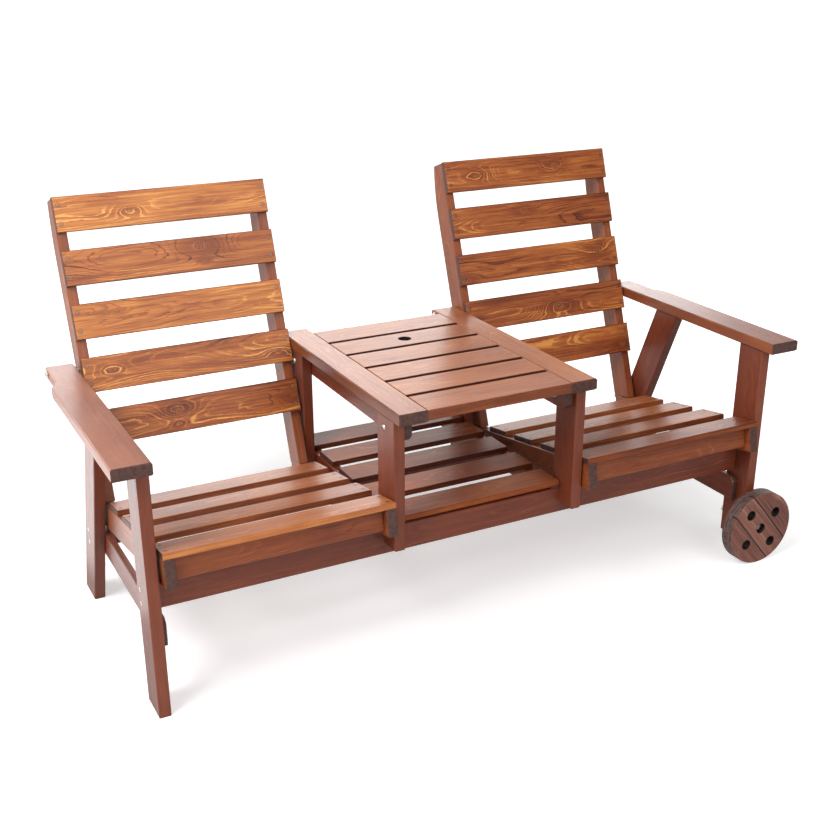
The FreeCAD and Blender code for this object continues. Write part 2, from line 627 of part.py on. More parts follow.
# Origin at the bottom centre of the whole bench
whole = group(list(parts.values())).optimalBoundingBox(False)
shift = V(-(whole.XMin + whole.XMax) / 2, -(whole.YMin + whole.YMax) / 2, -whole.ZMin)
os.makedirs("parts", exist_ok=True)
for key, shape in parts.items():
    shape.translate(shift)
    shape.exportStep("parts/" + key + ".step")
print(len(parts), "nodes, moved by", shift)
print("size", whole.XLength, whole.YLength, whole.ZLength)
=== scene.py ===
import math

import bmesh
import bpy
from mathutils import Euler, Matrix, Vector


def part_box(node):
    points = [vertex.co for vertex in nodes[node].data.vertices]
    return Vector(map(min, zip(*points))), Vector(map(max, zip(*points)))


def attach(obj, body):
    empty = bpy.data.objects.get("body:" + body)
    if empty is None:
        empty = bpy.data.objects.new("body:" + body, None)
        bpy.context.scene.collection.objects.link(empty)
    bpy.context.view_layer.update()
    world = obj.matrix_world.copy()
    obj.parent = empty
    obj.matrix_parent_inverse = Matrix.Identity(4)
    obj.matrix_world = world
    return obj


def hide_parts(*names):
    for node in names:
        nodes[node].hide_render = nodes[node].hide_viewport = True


# Looks of a companion seat bench in stained softwood, built round the packed
# CAD frame. Metres, +Z up, front towards -Y, the wheels at the +X end.

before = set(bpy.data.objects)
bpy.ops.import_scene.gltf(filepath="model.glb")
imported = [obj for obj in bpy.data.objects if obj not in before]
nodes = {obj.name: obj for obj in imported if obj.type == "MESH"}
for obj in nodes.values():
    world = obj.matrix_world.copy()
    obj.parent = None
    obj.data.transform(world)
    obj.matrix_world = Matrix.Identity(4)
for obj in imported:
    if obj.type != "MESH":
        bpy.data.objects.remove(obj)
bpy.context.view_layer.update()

MM = 0.001
WELD = 1e-6
X, Y, Z = Vector((1, 0, 0)), Vector((0, 1, 0)), Vector((0, 0, 1))
SIDES = ("left_", "right_")

# Camera, fitted to the straight edges in the photograph
CAMERA_AT = (-1.5248, -2.8643, 1.7494)
CAMERA_YAW = 27.58           # degrees from +Y towards +X
CAMERA_PITCH = 22.58         # degrees below level
CAMERA_ROLL = 0.05
CAMERA_LENS, CAMERA_SENSOR = 51.875, 36.0   # mm
CAMERA_SHIFT = (-0.0029, 0.03377)

# Slopes of the raked and tilted boards, degrees
SEAT_SLOPE = 9.6
BACK_TILT = 19.5
REAR_LEG_RAKE = 21.8
WHEEL_GRAIN = -49.7

# Stained softwood, linear colours from the darkest stain to the palest wood
LEFT_TONES = (
    (0.06, 0.009, 0.003), (0.29, 0.072, 0.017), (0.52, 0.175, 0.036), (0.78, 0.37, 0.09))
RIGHT_TONES = (
    (0.045, 0.007, 0.003), (0.22, 0.046, 0.011), (0.42, 0.12, 0.025), (0.68, 0.28, 0.065))
SEAT_TONES = (
    (0.06, 0.011, 0.005), (0.26, 0.065, 0.019), (0.43, 0.135, 0.036), (0.6, 0.24, 0.07))
FRAME_TONES = (
    (0.035, 0.006, 0.004), (0.13, 0.025, 0.01), (0.2, 0.045, 0.018), (0.29, 0.08, 0.032))
POST_TONES = (
    (0.05, 0.009, 0.004), (0.19, 0.042, 0.013), (0.31, 0.082, 0.024), (0.42, 0.14, 0.04))
WHEEL_TONES = (
    (0.06, 0.018, 0.011), (0.16, 0.05, 0.032), (0.24, 0.09, 0.058), (0.33, 0.145, 0.1))
TONE_PLACES = (0.0, 0.40, 0.70, 1.0)
PLAIN = (0.0, 0.0)           # no painted shade on the narrow faces
KNOT_DARK, KNOT_PALE = (0.060, 0.013, 0.007), (0.420, 0.130, 0.034)
END_GRAIN = (0.095, 0.040, 0.031)
RIM_GREY = (0.140, 0.080, 0.068)
# near-black painted shade in holes, also used for the dark seams of a disc
HOLE_SHADE_AND_SEAMS = (0.012, 0.005, 0.004)

# Varnish, and its share on the boards where it is worn, thin or thick
ROUGH, FIBRE_ROUGH, CUT_ROUGH = 0.40, 0.14, 0.22
SPECULAR, COAT, COAT_ROUGH = 0.30, 0.18, 0.25
RELIEF, RELIEF_STRENGTH = 0.5 * MM, 0.45
RELIEF_SHARE = 0.5           # of the fibres, and of the late wood
SHINE = {
    "table_slats": 0.80, "parasol_slat": 0.80, "right_table_board": 0.65,
    "right_seat_slats": 0.60, "shelf_slats": 0.25, "right_armrest": 1.30,
}

# Knots: board counted from the lowest or front one, place along and across it
# from its middle, and radius, in millimetres
KNOTS = {
    "left_back_slats": (
        (4, -98, -6, 7), (3, 79, 22, 11), (3, 88, -20, 4), (2, -216, 14, 4), (2, -176, 14, 4),
        (1, -220, 6, 6), (1, 262, -12, 7), (0, -59, 12, 9), (0, -63, -25, 4), (0, 283, 0, 8)),
    "table_slats": ((3, -116, -21, 7),),
    "right_back_slats": (
        (4, -184, -2, 8), (4, 104, 4, 9), (3, -37, 18, 8), (2, -284, -30, 9), (2, 225, 10, 11),
        (1, 43, -6, 12), (0, 270, -20, 8)),
}

# Boards paler or darker than their neighbours, counted in the same way
SHADES = {
    "left_back_slats": (-0.08, -0.01, 0.12, -0.02, 0.10),
    "right_back_slats": (0.03, 0.02, 0.00, 0.05, 0.07),
    "left_seat_slats": (0.08, 0.07, 0.06, 0.06),
    "right_seat_slats": (-0.17, -0.02, 0.08, 0.12),
    # the shelf's boards are darkened as painted shade, under the table
    "shelf_slats": (-0.12, -0.14, -0.14, -0.14, -0.14),
    "right_table_board": (0.14,),
    "table_slats": (0.05, 0.05, 0.05, 0.05, 0.05, 0.05),
    "parasol_slat": (0.05,),
    "left_front_table_leg": (0.08,),
}


class Tree:
    """Short-hand for making a shader's nodes and their links."""

    def __init__(self, owner):
        self.tree = owner
        if isinstance(owner, (bpy.types.Material, bpy.types.World)):
            owner.use_nodes = True
            self.tree = owner.node_tree
            self.tree.nodes.clear()

    def node(self, kind, **settings):
        made = self.tree.nodes.new(kind)
        for key, value in settings.items():
            setattr(made, key, value)
        return made

    def feed(self, socket, value):
        if isinstance(value, bpy.types.NodeSocket):
            self.tree.links.new(value, socket)
        elif socket.type == "RGBA":
            socket.default_value = (*value, 1.0)
        else:
            socket.default_value = value

    def math(self, operation, a, b=0.0, c=0.0):
        made = self.node("ShaderNodeMath", operation=operation)
        for socket, value in zip(made.inputs, (a, b, c)):
            self.feed(socket, value)
        return made.outputs[0]

    def add(self, *values):
        total = values[0]
        for value in values[1:]:
            total = self.math("ADD", total, value)
        return total

    def times(self, a, b):
        return self.math("MULTIPLY", a, b)

    def swing(self, value, size):
        """A share from 0 to 1 turned into a move of up to half this size, either way."""
        return self.times(self.math("SUBTRACT", value, 0.5), size)

    def vector(self, operation, a, b=(0.0, 0.0, 0.0)):
        made = self.node("ShaderNodeVectorMath", operation=operation)
        self.feed(made.inputs[0], a)
        self.feed(made.inputs[1], b)
        return made.outputs["Value" if operation in ("DOT_PRODUCT", "LENGTH") else "Vector"]

    def facing(self, normal, axis):
        """How squarely a face looks along the axis, either way."""
        return self.math("ABSOLUTE", self.vector("DOT_PRODUCT", normal, axis))

    def parts(self, vector):
        made = self.node("ShaderNodeSeparateXYZ")
        self.feed(made.inputs[0], vector)
        return made.outputs

    def join(self, x, y, z=0.0):
        made = self.node("ShaderNodeCombineXYZ")
        for socket, value in zip(made.inputs, (x, y, z)):
            self.feed(socket, value)
        return made.outputs[0]

    def noise(self, place, pattern, seed=0.0):
        """Noise of this pattern: features a metre along and across, detail and roughness."""
        along, across, detail, rough = pattern
        made = self.node("ShaderNodeTexNoise", noise_dimensions="4D")
        stretched = self.vector("MULTIPLY", place, (along, across, across))
        for key, value in (("Vector", stretched), ("W", seed), ("Scale", 1.0),
                           ("Detail", detail), ("Roughness", rough)):
            self.feed(made.inputs[key], value)
        return made.outputs[0]

    def chance(self, seed, which=0.0):
        """A number from 0 to 1 for this seed."""
        made = self.node("ShaderNodeTexWhiteNoise", noise_dimensions="1D")
        self.feed(made.inputs["W"], self.math("ADD", seed, which))
        return made.outputs["Value"]

    def span(self, value, low, high, to_low=0.0, to_high=1.0, smooth=True):
        kind = "SMOOTHSTEP" if smooth else "LINEAR"
        made = self.node("ShaderNodeMapRange", interpolation_type=kind)
        for socket, given in zip(made.inputs, (value, low, high, to_low, to_high)):
            self.feed(socket, given)
        return made.outputs[0]

    def mix(self, share, a, b):
        made = self.node("ShaderNodeMix", data_type="RGBA")
        self.feed(made.inputs[0], share)
        self.feed(made.inputs[6], a)
        self.feed(made.inputs[7], b)
        return made.outputs[2]

    def ramp(self, share, tones, places):
        made = self.node("ShaderNodeValToRGB")
        elements = made.color_ramp.elements
        elements[0].position, elements[1].position = places[0], places[-1]
        elements[0].color, elements[1].color = (*tones[0], 1.0), (*tones[-1], 1.0)
        for tone, place in zip(tones[1:-1], places[1:-1]):
            elements.new(place).color = (*tone, 1.0)
        self.feed(made.inputs[0], share)
        return made.outputs[0]

    def bump(self, height, strength, distance):
        made = self.node("ShaderNodeBump")
        made.inputs["Strength"].default_value = strength
        made.inputs["Distance"].default_value = distance
        self.feed(made.inputs["Height"], height)
        return made.outputs[0]

    def surface(self, shader):
        owner = "World" if shader.type == "BACKGROUND" else "Material"
        self.feed(self.node("ShaderNodeOutput" + owner).inputs["Surface"], shader.outputs[0])


def group(name, inputs, outputs, build):
    """A node group with these named sockets, filled by build."""
    made = bpy.data.node_groups.new(name, "ShaderNodeTree")
    for key in inputs:
        kind = "NodeSocketVector" if key in ("Place", "Centre") else "NodeSocketFloat"
        made.interface.new_socket(key, in_out="INPUT", socket_type=kind)
    for key in outputs:
        made.interface.new_socket(key, in_out="OUTPUT", socket_type="NodeSocketFloat")
    tree = Tree(made)
    given = tree.node("NodeGroupInput").outputs
    results = build(tree, {key: given[key] for key in inputs})
    out = tree.node("NodeGroupOutput")
    for key in outputs:
        tree.feed(out.inputs[key], results[key])
    return made


def use(tree, made, values):
    """Outputs of this group, fed with these values."""
    placed = tree.node("ShaderNodeGroup", node_tree=made)
    for key, value in values.items():
        tree.feed(placed.inputs[key], value)
    return placed.outputs


# A knot, measured in its radii. Lengths along the board count for less than
# across it: the knot is an oval, and the rings that flow round it a longer one
KNOT_OVAL, KNOT_LENS = 0.72, 0.36
WANDER_NOISE = (70.0, 90.0, 2.0, 0.5)
WANDER_OUT, WANDER = 3.0, (0.35, 1.3)   # how its outline wanders, at its heart and so far out
CORE_EDGE = (0.80, 1.10)
RIM_INSIDE, RIM_OUTSIDE = (0.70, 1.0), (1.05, 1.45)
GROUND_EDGE = (0.8, 3.4)     # the ground round it, stained darker
PUSH = 1.9                   # how far it pushes the board's rings aside
PUSH_FALL = -0.15
KNOT_RINGS = 2.4
KNOT_SUMS = ("Push", "Core", "Rim", "Shade", "Rings")


def knot_nodes(tree, given):
    """One knot, added to those before it: push, core, rim, stained ground and own rings."""
    place, radius = given["Place"], given["Radius"]
    x, y, _ = tree.parts(tree.vector("SUBTRACT", place, given["Centre"]))
    ovals = (tree.join(tree.times(x, less), y) for less in (KNOT_LENS, KNOT_OVAL))
    lens, oval = (tree.math("DIVIDE", tree.vector("LENGTH", each), radius) for each in ovals)
    wander = tree.noise(place, WANDER_NOISE, given["Seed"])
    size = tree.span(oval, 0.0, WANDER_OUT, *WANDER, smooth=False)
    far = tree.add(oval, tree.swing(wander, size))
    push = tree.math("EXPONENT", tree.times(tree.times(lens, lens), PUSH_FALL))
    push = tree.times(tree.times(push, radius), PUSH)
    core = tree.span(far, *CORE_EDGE, 1.0, 0.0)
    rim = tree.times(tree.span(far, *RIM_INSIDE), tree.span(far, *RIM_OUTSIDE, 1.0, 0.0))
    ground = tree.span(lens, *GROUND_EDGE, 1.0, 0.0)
    return {"Push": tree.add(given["Push"], push),
            "Core": tree.math("MAXIMUM", given["Core"], core),
            "Rim": tree.math("MAXIMUM", given["Rim"], rim),
            "Shade": tree.math("MAXIMUM", given["Shade"], ground),
            "Rings": tree.add(given["Rings"], tree.times(core, tree.times(far, KNOT_RINGS)))}


# Added to a board's seed, so that each of its draws is another one
APART = {"deep": 11.3, "lean": 23.7, "bow": 5.1, "fade": 31.0, "streak": 3.3,
         "blotch": 9.0, "turn": 19.0, "board": 41.0}

# The log that a board was sawn from, in metres: the place of its heart, and how
# it leans, bends, bows and ripples along the board
PITH_ACROSS = 0.050
PITH_DEEP = (0.040, 0.085)
PITH_LEAN = 0.060
BEND_NOISE, BEND = (1.7, 4.0, 2.0, 0.5), 0.085
BOW_NOISE, BOW = (1.7, 4.0, 1.0, 0.4), 0.030
RIPPLES = (((7.0, 50.0, 2.0, 0.6), 4.5 * MM), ((28.0, 170.0, 3.0, 0.7), 3.0 * MM))

# Its growth rings: the late wood's share of each, uneven from year to year
RING_SPACING = 3.2 * MM
DRIFT_NOISE, DRIFT = (1.0, 1.0, 2.0, 0.6), 1.9   # in rings
LATE_START, LATE_STOP = (0.56, 0.90), (0.91, 0.99)
YEAR_STRENGTH = (0.30, 1.0)
FADE_NOISE = (6.0, 22.0, 2.0, 0.5)
FADE_EDGE, FADE_STRENGTH = (0.3, 0.6), (0.35, 1.0)
FIBRE_NOISE = (14.0, 620.0, 3.0, 0.65)
STREAK_NOISE = (3.2, 120.0, 4.0, 0.6)
MIDDLE = (0.30, 0.70)        # of a noise, drawn out to its whole range


def grain_nodes(tree, given):
    """Growth rings and fibres of a flat-sawn board: X along it, Y across it, Z through it."""
    place, seed = given["Place"], given["Seed"]
    along, across, deep = tree.parts(place)
    pith_across = tree.swing(tree.chance(seed), PITH_ACROSS)
    pith_deep = tree.span(tree.chance(seed, APART["deep"]), 0.0, 1.0, *PITH_DEEP, smooth=False)
    lean = tree.times(along, tree.swing(tree.chance(seed, APART["lean"]), PITH_LEAN))
    bend = tree.swing(tree.noise(place, BEND_NOISE, seed), BEND)
    bow = tree.swing(tree.noise(place, BOW_NOISE, tree.add(seed, APART["bow"])), BOW)
    y = tree.math("SUBTRACT", across, tree.add(pith_across, bow))
    z = tree.add(deep, pith_deep, lean, bend)
    radius = tree.vector("LENGTH", tree.join(0.0, y, z))
    ripple = tree.add(*(tree.swing(tree.noise(place, pattern, seed), size)
                        for pattern, size in RIPPLES))
    turns = tree.math("DIVIDE", tree.add(radius, ripple, given["Push"]), given["Spacing"])
    drift = tree.noise(tree.join(turns, 0.0), DRIFT_NOISE, seed)
    turns = tree.add(turns, tree.times(drift, DRIFT))
    phase = tree.math("FRACT", turns)
    late = tree.times(tree.span(phase, *LATE_START), tree.span(phase, *LATE_STOP, 1.0, 0.0))
    year = tree.chance(tree.math("FLOOR", turns), seed)
    year = tree.span(year, 0.0, 1.0, *YEAR_STRENGTH, smooth=False)
    fade = tree.noise(place, FADE_NOISE, tree.add(seed, APART["fade"]))
    fade = tree.span(fade, *FADE_EDGE, *FADE_STRENGTH)
    fibre = tree.noise(place, FIBRE_NOISE, seed)
    streak = tree.noise(place, STREAK_NOISE, tree.add(seed, APART["streak"]))
    return {"Late": tree.times(late, tree.times(year, fade)),
            "Fibre": tree.span(fibre, *MIDDLE),
            "Streak": tree.span(streak, *MIDDLE)}


# How pale the stain leaves the wood: in wide blotches, from board to board, and
# with the late wood here paler and there darker than the rest
BLOTCH_NOISE = (5.0, 15.0, 3.0, 0.55)
BLOTCH_EDGE, BLOTCH_LEVEL = (0.25, 0.75), (0.38, 0.66)
TURN_NOISE = (2.2, 9.0, 1.0, 0.5)
TURN_EDGE, TURN_SIZE = (0.36, 0.53), (-0.55, 0.62)
BOARD_SWING, STREAK_SWING, FIBRE_SWING = 0.10, 0.30, 0.22


def level_nodes(tree, given):
    """How pale the stained wood is, from 0 to 1, before its knots."""
    place, seed, contrast = given["Place"], given["Seed"], given["Contrast"]
    blotch = tree.noise(place, BLOTCH_NOISE, tree.add(seed, APART["blotch"]))
    turn = tree.noise(place, TURN_NOISE, tree.add(seed, APART["turn"]))
    late = tree.times(given["Late"], tree.span(turn, *TURN_EDGE, *TURN_SIZE))
    return {"Level": tree.add(tree.span(blotch, *BLOTCH_EDGE, *BLOTCH_LEVEL, smooth=False),
                              tree.swing(tree.chance(seed, APART["board"]), BOARD_SWING),
                              tree.swing(given["Streak"], tree.times(contrast, STREAK_SWING)),
                              tree.swing(given["Fibre"], tree.times(contrast, FIBRE_SWING)),
                              tree.times(late, contrast))}


FIGURE = ("Late", "Fibre", "Streak")
KNOT = group("knot", ("Place", "Centre", "Radius", "Seed", *KNOT_SUMS), KNOT_SUMS, knot_nodes)
GRAIN = group("grain", ("Place", "Seed", "Spacing", "Push"), FIGURE, grain_nodes)
LEVEL = group("level", ("Place", "Seed", "Contrast", *FIGURE), ("Level",), level_nodes)


def loose_parts(obj):
    """The vertices' places of each loose part."""
    mesh = bmesh.new()
    mesh.from_mesh(obj.data)
    bmesh.ops.remove_doubles(mesh, verts=mesh.verts, dist=WELD)
    left, parts = set(mesh.verts), []
    for first in mesh.verts:
        stack, places = [first] if first in left else [], []
        left.discard(first)
        while stack:
            vertex = stack.pop()
            places.append(vertex.co.copy())
            linked = {edge.other_vert(vertex) for edge in vertex.link_edges} & left
            left -= linked
            stack += linked
        if places:
            parts.append(places)
    mesh.free()
    return parts


UP_OR_FRONT = Vector((-0.3, -0.6, 1.0))
FACE_TILT = 0.2              # how far a face may look along the board, and not be its end
NORMAL_DIGITS = 2


class Boards:
    """The loose boards of one CAD node: their axes, sizes and the row that they stand in."""

    def __init__(self, obj, run):
        self.length = run.normalized()
        self.thick = self.face_normal(obj)
        self.width = self.thick.cross(self.length)
        axes, self.corners = (self.length, self.width, self.thick), []
        for part in loose_parts(obj):
            places = [[place.dot(axis) for axis in axes] for place in part]
            self.corners.append((Vector(map(min, *places)), Vector(map(max, *places))))
        middles = [(low + high) / 2 for low, high in self.corners]
        reach = [max(m[i] for m in middles) - min(m[i] for m in middles) for i in range(3)]
        self.row = reach.index(max(reach))
        self.corners.sort(key=lambda pair: pair[0][self.row] + pair[1][self.row])
        self.middle = (self.corners[0][0] + self.corners[0][1]) / 2
        self.half = (self.corners[0][1] - self.corners[0][0]) / 2
        places = sorted(m[self.row] for m in middles)
        self.pitch = min((far - near for near, far in zip(places, places[1:])), default=0.0)

    def face_normal(self, obj):
        """The boards' main face, square to their length, turned up or to the front."""
        areas = {}
        for face in obj.data.polygons:
            if abs(face.normal.dot(self.length)) < FACE_TILT:
                normal = face.normal if face.normal.dot(UP_OR_FRONT) > 0 else -face.normal
                key = tuple(round(c, NORMAL_DIGITS) for c in normal)
                area, total = areas.get(key, (0.0, Vector()))
                areas[key] = (area + face.area, total + normal * face.area)
        return max(areas.values(), key=lambda pair: pair[0])[1].normalized()

    def point(self, place):
        """A place in the boards' own axes, in the frame's."""
        return self.length * place[0] + self.width * place[1] + self.thick * place[2]


# End grain, by how squarely a face looks along the grain. Slats that end
# against a board keep their chamfers stained; a disc is cut all round its edge
END_CUT = (0.50, 0.72)
SHOULDER_CUT = (0.76, 0.88)
TENONED = ("table_slats", "parasol_slat")
DISC_CUT = (0.55, 0.80)
CUT_STREAK, CUT_FIBRE = 0.9, 0.6
CUT_DARK = 0.35              # its darkest pores, as a share of its colour
WEAR_PATCHES = (55.0, 230.0, 55.0)   # a metre, round the rim and across it
WEAR_NOISE = (1.0, 1.0, 4.0, 0.7)
WEAR_EDGE, WEAR = (0.40, 0.62), (-0.1, 1.9)

# Darker along the long edges, less where the wood is streaky
EDGE_FROM, EDGE_TO = 3.0 * MM, 0.8 * MM
EDGE_STREAK, EDGE_DARK = (0.2, 0.8), (0.42, 0.16)
SIDE_FACE = (0.5, 0.75)      # how squarely a narrow face looks across the board

# Ground, rings and heart of a knot
GROUND_STREAK, GROUND_DARK = 0.30, 0.06
RIM_PALE, RINGS_PALE = 0.10, 0.66
HEART_EDGE, HEART_SHARE = (0.15, 0.85), 0.80

# Holes, with painted shade on their walls and in a ring round each, and the dark seams of a disc
PARASOL_R, PARASOL_RING = 19.0 * MM, 1.2 * MM
WHEEL_HOLE_R, WHEEL_RING = 15.0 * MM, 2.4 * MM
HOLE_WALL = 0.5 * MM
SEAM_FROM, SEAM_TO = 2.6 * MM, 1.6 * MM
HOLES_WITHIN = 0.8           # share of the disc's radius
HOLE_FACES = 5               # fewest faces in a hole's wall
WALL_TILT = 0.1              # how far they may look along the hole
SAME_HOLE = 3.0 * MM

# Seeds: for each node, for each board of a node, and for a knot by its place
NODE_SEEDS, WHEEL_SEEDS = (3.0, 17.0), (900.0, 31.0)
BOARD_SEED, KNOT_SEED = 7.13, 0.37
SAME_BOARD = 0.5             # between the numbers of two boards


class Timber:
    """Stained wood for one CAD node, with its grain laid along its own boards.

    The painted side shades are painted shade on the narrow faces, where slots
    and undersides fall in shade, the last one for the front of the first board;
    a negative one paints light. Only a disc, sawn from several boards side by
    side, is given their pitch.
    """

    def __init__(self, name, run, tones, seed, contrast=1.0, shades=PLAIN, disc_pitch=None):
        self.name, self.shades, self.disc_pitch = name, shades, disc_pitch
        self.boards = Boards(nodes[name], run)
        self.pitch = disc_pitch or self.boards.pitch
        if disc_pitch:
            self.middle = sum(self.boards.corners[1], Vector()) / 2
        else:
            self.middle = self.boards.middle
        made = bpy.data.materials.new("timber_" + name)
        self.tree = tree = Tree(made)
        self.coordinates = tree.node("ShaderNodeTexCoord").outputs
        place, self.number = self.place_in_board()
        own_seed = tree.add(tree.times(self.number, BOARD_SEED), seed)
        knots = self.knots(place)
        grain = use(tree, GRAIN, {"Place": place, "Seed": own_seed, "Spacing": RING_SPACING,
                                  "Push": knots["Push"]})
        level = use(tree, LEVEL, {"Place": place, "Seed": own_seed, "Contrast": contrast,
                                  **{key: grain[key] for key in FIGURE}})["Level"]
        colour = self.stained(level, tones, place, grain, knots)
        # painted shade on hole walls and in a ring round each hole, and the dark seams of a disc
        hole = self.hole_shade_and_seams(place)
        cut = tree.math("MAXIMUM", self.cut_share(), hole)
        cut_colour = tree.mix(hole, self.cut_colour(grain, seed), HOLE_SHADE_AND_SEAMS)
        self.varnish(tree.mix(cut, colour, cut_colour), cut, grain)
        for slot in nodes[name].material_slots:
            slot.material = made

    def place_in_board(self):
        """Place along, across and through the nearest board, from its middle, and its number."""
        tree, boards = self.tree, self.boards
        mapping = tree.node("ShaderNodeMapping", vector_type="TEXTURE")
        tree.feed(mapping.inputs["Vector"], self.coordinates["Object"])
        mapping.inputs["Location"].default_value = boards.point(self.middle)
        axes = Matrix((boards.length, boards.width, boards.thick)).transposed()
        mapping.inputs["Rotation"].default_value = axes.to_euler()
        if len(boards.corners) == 1:
            return mapping.outputs[0], 0.0
        parts = list(tree.parts(mapping.outputs[0]))
        number = tree.math("ROUND", tree.math("DIVIDE", parts[boards.row], self.pitch))
        parts[boards.row] = tree.math("SUBTRACT", parts[boards.row], tree.times(number, self.pitch))
        return tree.join(*parts), number

    def knots(self, place):
        """The node's knots. Each board is moved a metre on, so that a knot stays on its own."""
        tree = self.tree
        sums = {key: 0.0 for key in KNOT_SUMS}
        x, y, _ = tree.parts(place)
        spread = tree.join(x, tree.add(y, self.number))
        for board, along, across, radius in KNOTS.get(self.name, ()):
            centre = (along * MM, across * MM + board, 0.0)
            knot = use(tree, KNOT, {"Place": spread, "Centre": centre, "Radius": radius * MM,
                                    "Seed": along * KNOT_SEED, **sums})
            sums = {key: knot[key] for key in KNOT_SUMS}
        return sums

    def stained(self, level, tones, place, grain, knots):
        """The stain's colour, with darker edges, painted shade on narrow faces, shades of single
        boards and knots.
        """
        tree = self.tree
        level = tree.math("SUBTRACT", level, self.edge_dark_and_side_shade(place, grain))
        for board, shade in enumerate(SHADES.get(self.name, ())):
            here = tree.math("COMPARE", self.number, board, SAME_BOARD)
            level = tree.add(level, tree.times(here, shade))
        if self.name not in KNOTS:
            return tree.ramp(level, tones, TONE_PLACES)
        ground = tree.add(tree.times(grain["Streak"], GROUND_STREAK), GROUND_DARK)
        level = tree.math("SUBTRACT", level, tree.times(knots["Shade"], ground))
        rings = tree.times(grain["Late"], tree.times(knots["Shade"], RINGS_PALE))
        level = tree.add(level, tree.times(knots["Rim"], RIM_PALE), rings)
        own_rings = tree.math("FRACT", tree.add(knots["Rings"], grain["Streak"]))
        heart = tree.mix(tree.span(own_rings, *HEART_EDGE), KNOT_DARK, KNOT_PALE)
        colour = tree.ramp(level, tones, TONE_PLACES)
        return tree.mix(tree.times(knots["Core"], HEART_SHARE), colour, heart)

    def edge_dark_and_side_shade(self, place, grain):
        """How much darker the long edges are, plus the painted shade on the narrow faces, negative
        for painted light.
        """
        tree, half = self.tree, self.boards.half.y
        if self.disc_pitch:
            return 0.0
        across = tree.parts(place)[1]
        near = tree.span(tree.math("ABSOLUTE", across), half - EDGE_FROM, half - EDGE_TO)
        side = tree.span(tree.facing(self.coordinates["Normal"], self.boards.width), *SIDE_FACE)
        darkening = tree.times(near, tree.span(grain["Streak"], *EDGE_STREAK, *EDGE_DARK))
        first = tree.times(tree.math("COMPARE", self.number, 0.0, SAME_BOARD),
                           tree.math("LESS_THAN", across, 0.0))
        # painted shade on the narrow faces, where slots and undersides fall in shade; the first
        # board's front has its own value, and a negative value paints light
        shade, first_shade = self.shades
        side_shade = tree.add(shade, tree.times(first, first_shade - shade))
        darkening = tree.times(darkening, tree.math("SUBTRACT", 1.0, side))
        return tree.add(darkening, tree.times(side, side_shade))

    def hole_shade_and_seams(self, place):
        """One on the walls of holes and in a ring round each, as painted shade, and in the dark
        seams of a disc.
        """
        tree = self.tree
        low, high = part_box(self.name)
        middle = (low + high) / 2
        if self.disc_pitch:
            holes, across_hole = self.holes(middle, (high - low).x / 2), (1.0, 0.0, 1.0)
            radius, ring = WHEEL_HOLE_R, WHEEL_RING
        elif self.name == "parasol_slat":
            holes, across_hole = [middle], (1.0, 1.0, 0.0)
            radius, ring = PARASOL_R, PARASOL_RING
        else:
            return 0.0
        nearest = 1.0
        for centre in holes:
            out = tree.vector("SUBTRACT", self.coordinates["Object"], centre)
            out = tree.vector("LENGTH", tree.vector("MULTIPLY", out, across_hole))
            nearest = tree.math("MINIMUM", nearest, out)
        shade_and_seams = tree.span(nearest, radius + HOLE_WALL, radius + ring, 1.0, 0.0)
        if self.disc_pitch:
            edge = self.pitch / 2
            across = tree.math("ABSOLUTE", tree.parts(place)[1])
            shade_and_seams = tree.math("MAXIMUM", shade_and_seams, tree.span(across, edge - SEAM_FROM, edge - SEAM_TO))
        return shade_and_seams

    def holes(self, middle, rim):
        """Middles of a disc's holes: the walls of each look towards it."""
        found = []
        for face in nodes[self.name].data.polygons:
            out = face.center - middle
            if abs(face.normal.y) < WALL_TILT and math.hypot(out.x, out.z) < rim * HOLES_WITHIN:
                at = face.center + face.normal * WHEEL_HOLE_R
                at.y = middle.y
                for hole in found:
                    if (hole[0] - at).length < SAME_HOLE:
                        hole.append(at)
                        break
                else:
                    found.append([at])
        return [sum(hole, Vector()) / len(hole) for hole in found if len(hole) >= HOLE_FACES]

    def cut_share(self):
        """One where the wood is cut across."""
        tree, normal = self.tree, self.coordinates["Normal"]
        if self.disc_pitch:
            return tree.span(tree.facing(normal, self.boards.thick), *DISC_CUT, 1.0, 0.0)
        edge = SHOULDER_CUT if self.name in TENONED else END_CUT
        return tree.span(tree.facing(normal, self.boards.length), *edge)

    def cut_colour(self, grain, seed):
        """Porous end grain, or the worn edge of a disc."""
        tree = self.tree
        if self.disc_pitch:
            patches = tree.vector("MULTIPLY", self.coordinates["Object"], WEAR_PATCHES)
            worn = tree.noise(patches, WEAR_NOISE, seed)
            share, tone = tree.span(worn, *WEAR_EDGE, *WEAR, smooth=False), RIM_GREY
        else:
            streak = tree.times(grain["Streak"], CUT_STREAK)
            share, tone = tree.add(streak, tree.times(grain["Fibre"], CUT_FIBRE)), END_GRAIN
        return tree.mix(share, [c * CUT_DARK for c in tone], tone)

    def varnish(self, colour, cut, grain):
        """A thin coat that shows the grain's relief and leaves cut wood dull."""
        tree = self.tree
        rough = tree.add(ROUGH, tree.swing(grain["Fibre"], FIBRE_ROUGH), tree.times(cut, CUT_ROUGH))
        height = tree.add(tree.times(grain["Fibre"], RELIEF_SHARE),
                          tree.times(grain["Late"], RELIEF_SHARE))
        shader = tree.node("ShaderNodeBsdfPrincipled")
        tree.feed(shader.inputs["Base Color"], colour)
        tree.feed(shader.inputs["Roughness"], rough)
        tree.feed(shader.inputs["Normal"], tree.bump(height, RELIEF_STRENGTH, RELIEF))
        shine = SHINE.get(self.name, 1.0)
        shader.inputs["Specular IOR Level"].default_value = SPECULAR * shine
        shader.inputs["Coat Weight"].default_value = COAT * shine
        shader.inputs["Coat Roughness"].default_value = COAT_ROUGH
        tree.surface(shader)


